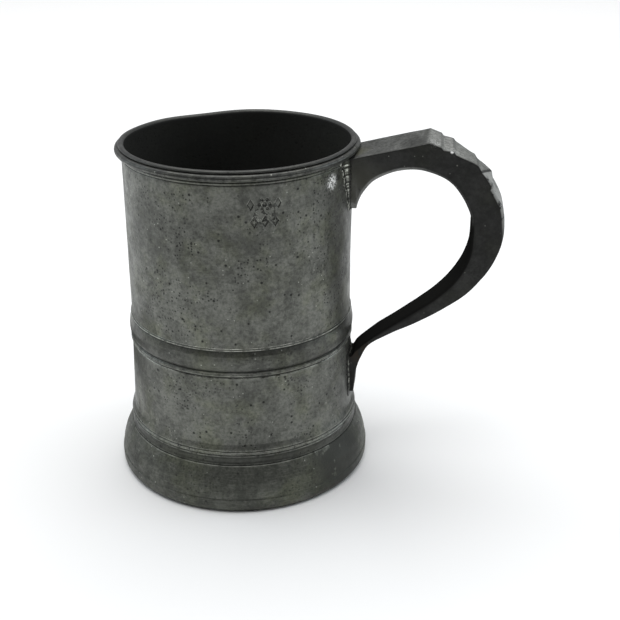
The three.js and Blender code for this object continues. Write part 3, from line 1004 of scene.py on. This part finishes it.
def make_handle():
    outer, inner = handle_outer(), handle_inner()
    outer_lengths, inner_lengths = arc_lengths(outer), arc_lengths(inner)
    rib_outer = [nearest_length(outer, outer_lengths, a) for a, _ in HANDLE_RIBS]
    rib_inner = [nearest_length(inner, inner_lengths, b) for _, b in HANDLE_RIBS]
    rib_outer[-1], rib_inner[-1] = outer_lengths[-1], inner_lengths[-1]
    # Between its buried end and the drum's surface the strap needs no sections.
    stations = outer_lengths[(outer[:, 0] < BURIED_X + 0.1) | (outer[:, 0] > 42.2)]
    across = along(inner, inner_lengths, np.interp(stations, rib_outer, rib_inner))
    rings = []
    for top, bottom in zip(along(outer, outer_lengths, stations), across):
        # How much, from 0 to 1, a section lies on the drum, under the thumb rest and in the
        # arch: edges are sharp, more rounded and broadly eased there.
        on_wall = ease((TONGUE_BOTTOM + 20 - top[1]) / 6)
        under_thumb = ease((top[0] - 88) / 4) * ease((top[1] - 92) / 10)
        under_arch = ease((76 - bottom[0]) / 16) * (bottom[1] > ARCH_BOTTOM)
        ring = section_ring(
            np.linalg.norm(top - bottom), thumb_rest_tilt(*top), handle_half_width(*top),
            root_half_width(*bottom), 0.5 + 1.1 * under_thumb, 1.5 - 1.2 * on_wall,
            1.6 - 1.3 * on_wall + 1.6 * under_arch,
        )
        place = bottom + ring[:, :1] * (top - bottom) / np.linalg.norm(top - bottom)
        rings.append(onto_wall(np.stack([place[:, 0], ring[:, 1], place[:, 1]], 1)))
    count = len(rings[0])
    vertices = np.vstack(rings)
    faces = loft_faces(len(rings), count)
    faces.append(list(range(count))[::-1])
    faces.append([(len(rings) - 1) * count + k for k in range(count)])
    vertices = rough_cast(vertices, faces, 0.12, 0.03)
    piece = new_piece("handle_fine", vertices, faces, handle_pewter, "handle")
    spare_strap_edges(piece.data)


def spare_strap_edges(mesh):
    """Takes the rubbing marks off the strap's long edges, short of the thumb rest."""
    strap_end, strap_underside = 66, 112
    marks = mesh.attributes["edge"].data
    for vertex, mark in zip(mesh.vertices, marks):
        if (vertex.co.x - AXIS_X) / MM < strap_end and vertex.co.z / MM > strap_underside:
            mark.value = min(mark.value, NO_EDGE)


def loop_round(corners, spacing=0.3, fillet=1.0):
    """Points round an outline on the wall, with the way out from it at each point."""
    outline = eased(corners, fillet=fillet, arc_steps=6, longest=spacing)
    ahead = np.roll(outline, -1, 0) - np.roll(outline, 1, 0)
    ahead /= np.linalg.norm(ahead, axis=1, keepdims=True)
    return outline, np.stack([ahead[:, 1], -ahead[:, 0]], 1)


def make_solder_frame(name, node, corners, spreads, climbs, seed, lip):
    """A ragged fillet of solder in the corner between the handle's end and the drum.

    spreads and climbs are its reach over the drum and up the handle's side, at its bottom and
    its top, and lip is how brightly its outer edge is painted, from 0 to 1: rubbed solder with
    a painted highlight."""
    loop, outward = loop_round(corners)
    bottom, top = min(z for _, z in corners), max(z for _, z in corners)
    # Each section point: how far from the handle, as a share of the spread or in mm inside
    # the handle where negative, then a share of the climb, and mm out from the wall.
    section = [
        (-0.3, 0.0, -0.6), (1.0, 0.0, -0.15), (0.95, 0.0, 0.2), (0.78, 0.02, 0.22),
        (0.45, 0.2, 0.1), (0.22, 0.5, 0), (0.12, 0.85, 0), (0.06, 1.0, 0), (-0.08, 1.0, 0),
        (-0.3, 0.9, 0),
    ]
    points = []
    for (y, z), (out_y, out_z) in zip(loop, outward):
        place = Vector((y / 1.6, z / 1.6, seed))
        ragged = 1 + 0.55 * noise.noise(place) + 0.35 * noise.noise(place * 3.3)
        share = ease((z - bottom) / (top - bottom))
        reach = ragged * (spreads[0] + (spreads[1] - spreads[0]) * share)
        height = climbs[0] + (climbs[1] - climbs[0]) * share
        height *= 1 + 0.3 * noise.noise(place * 1.7 + Vector((9, 0, 0)))
        for away, up, out in section:
            distance = away * reach if away > 0 else away
            points.append((up * height + out, y + out_y * distance, z + out_z * distance))
    points = np.array(points)
    points[:, 2] = np.minimum(points[:, 2], LIP_BOTTOM - 0.3)
    points[:, 0] += wall_surface(points[:, 1], points[:, 2])
    faces = loft_faces(len(loop), len(section), closed=True)
    vertices = rough_cast(points, faces, 0.0, 0.12)
    piece = new_piece(name, vertices, faces, solder, node)
    # The outer edge row takes the lip value: bright dashes, partly rubbed solder and partly a
    # painted highlight.
    lip_row, rows_at_handle, sunk_edge = 2, (7, 8), 0.2
    for i, mark in enumerate(piece.data.attributes["edge"].data):
        row = i % len(section)
        if row == lip_row:
            mark.value = lip
        elif row in rows_at_handle:
            mark.value = sunk_edge


def root_corners():
    """The upper root's outline on the drum, as (y, height) points."""
    foot, wide = ROOT_FOOT_HALF_WIDTH, STRAP_HALF_WIDTH
    return [
        (-foot, ROOT_BOTTOM), (foot, ROOT_BOTTOM), (wide, ROOT_SHOULDER),
        (wide, STRAP_TOP_AT_DRUM), (-wide, STRAP_TOP_AT_DRUM), (-wide, ROOT_SHOULDER),
    ]


def tongue_corners():
    """The same for the tongue at the handle's lower end."""
    half = TONGUE_HALF_WIDTH
    return [(-half, TONGUE_BOTTOM), (half, TONGUE_BOTTOM), (half, CROTCH), (-half, CROTCH)]


make_upper_drum()
make_lip_band()
make_waist_band()
make_lower_drum()
make_foot_skirt()
make_base_disc()
make_base_solder()
make_joint_ring(
    "waist_solder_fine", "waist_solder", BORE_RADIUS, WAIST_RADIUS, WAIST, WAIST_FILM_TOP, 1.5
)
make_joint_ring(
    "foot_solder_fine", "foot_solder", BORE_FOOT_RADIUS, FOOT_JOINT_RADIUS, FOOT_TOP,
    FOOT_FILM_TOP, 5.5,
)
make_handle()
make_solder_frame(
    "upper_handle_solder_fine", "upper_handle_solder", root_corners(),
    spreads=(1.2, 3), climbs=(0.8, 2.2), seed=2.3, lip=0.9,
)
make_solder_frame(
    "lower_handle_solder_fine", "lower_handle_solder", tongue_corners(),
    spreads=(1.8, 2.4), climbs=(0.7, 0.7), seed=6.1, lip=0.5,
)


# ---------------------------------------------------------------- table, light and camera

def make_table():
    n = Nodes("table_paint")
    n.shader.inputs["Base Color"].default_value = (0.86, 0.86, 0.855, 1)
    n.shader.inputs["Roughness"].default_value = 0.75
    n.shader.inputs["Specular IOR Level"].default_value = 0.2
    half = 4.0
    mesh = bpy.data.meshes.new("table")
    corners = [(-half, -half, 0), (half, -half, 0), (half, half, 0), (-half, half, 0)]
    mesh.from_pydata(corners, [], [(0, 1, 2, 3)])
    mesh.materials.append(n.material)
    table = bpy.data.objects.new("table", mesh)
    bpy.context.scene.collection.objects.link(table)


def make_world(strength):
    world = bpy.data.worlds.new("studio")
    world.use_nodes = True
    background = world.node_tree.nodes["Background"]
    background.inputs["Color"].default_value = (0.97, 0.98, 1, 1)
    background.inputs["Strength"].default_value = strength
    bpy.context.scene.world = world


def softbox(name, place, aim, width, height, power, colour=(1, 1, 1)):
    data = bpy.data.lights.new(name, "AREA")
    data.color = colour
    data.shape = "RECTANGLE"
    data.size = width
    data.size_y = height
    data.energy = power
    light = bpy.data.objects.new(name, data)
    light.location = place
    light.rotation_euler = (Vector(aim) - Vector(place)).to_track_quat("-Z", "Y").to_euler()
    bpy.context.scene.collection.objects.link(light)


def curved_screen(name, middle_x, distance, first_turn, last_turn, bottom, top):
    """A dark screen round the mug, between two azimuths in degrees, that the camera doesn't see."""
    n = Nodes(name)
    n.shader.inputs["Base Color"].default_value = (0.01, 0.01, 0.01, 1)
    n.shader.inputs["Roughness"].default_value = 1
    n.shader.inputs["Specular IOR Level"].default_value = 0
    columns = 16
    vertices = []
    for turn in np.radians(np.linspace(first_turn, last_turn, columns + 1)):
        for height in (bottom, top):
            x, y = middle_x + distance * math.cos(turn), distance * math.sin(turn)
            vertices.append((x, y, height))
    faces = [(2 * k, 2 * k + 2, 2 * k + 3, 2 * k + 1) for k in range(columns)]
    mesh = bpy.data.meshes.new(name)
    mesh.from_pydata(vertices, [], faces)
    mesh.materials.append(n.material)
    screen = bpy.data.objects.new(name, mesh)
    screen.visible_camera = False
    screen.visible_shadow = False
    bpy.context.scene.collection.objects.link(screen)
    return screen


def make_dark_wall():
    """The studio's dark side behind the camera, which the mug's front reflects."""
    curved_screen("dark_wall", 0, 1.1, -145, -25, 0.03, 0.8)


def make_dark_cards():
    """A narrow card behind the handle draws a dark stripe down the drum's right, and two
    low ones keep the foot's sides dark."""
    distance, bottom = 0.105, 0.001
    for name, first_turn, last_turn, top in (
        ("dark_card", 15, 32, 0.14), ("low_card_right", 6, 75, 0.026),
        ("low_card_left", 138, 186, 0.026),
    ):
        card = curved_screen(name, AXIS_X, distance, first_turn, last_turn, bottom, top)
        card.visible_diffuse = False


def make_camera():
    """Looks down at the mug from the front, a little round towards the handle."""
    turned = math.radians(4.5)
    beside_axis = 0.02617  # how far to the right of the axis it aims, in m
    aim = Vector((
        AXIS_X + beside_axis * math.cos(turned), beside_axis * math.sin(turned), 0.06
    ))
    distance = 0.4213
    heading = math.radians(-2.112) - turned
    pitch = math.radians(24.255)
    roll = math.radians(0.116)
    forward = Vector((
        math.sin(heading) * math.cos(pitch),
        math.cos(heading) * math.cos(pitch),
        -math.sin(pitch),
    ))
    level = Vector((math.cos(heading), -math.sin(heading), 0))
    down = forward.cross(level)
    right = math.cos(roll) * level + math.sin(roll) * down
    data = bpy.data.cameras.new("camera")
    data.sensor_width = 36
    data.lens = 64.07
    data.clip_start = 0.01
    camera = bpy.data.objects.new("camera", data)
    axes = Matrix((right, right.cross(forward), -forward)).transposed()
    camera.matrix_world = Matrix.Translation(aim - distance * forward) @ axes.to_4x4()
    bpy.context.scene.collection.objects.link(camera)
    bpy.context.scene.camera = camera


make_table()
make_world(0.55)
softbox("overhead", (-0.1, 0.3, 1.9), (0, 0.1, 0.06), 2.2, 2.2, 40)
softbox("left", (-0.8, 0.1, 0.45), (0, 0, 0.06), 0.5, 0.7, 1.05, (0.78, 0.9, 1))
softbox("right", (0.8, 0.25, 0.4), (0, 0, 0.06), 0.4, 0.7, 1.3, (0.78, 0.9, 1))
make_dark_wall()
make_dark_cards()
make_camera()
bpy.context.scene.view_settings.view_transform = "Standard"
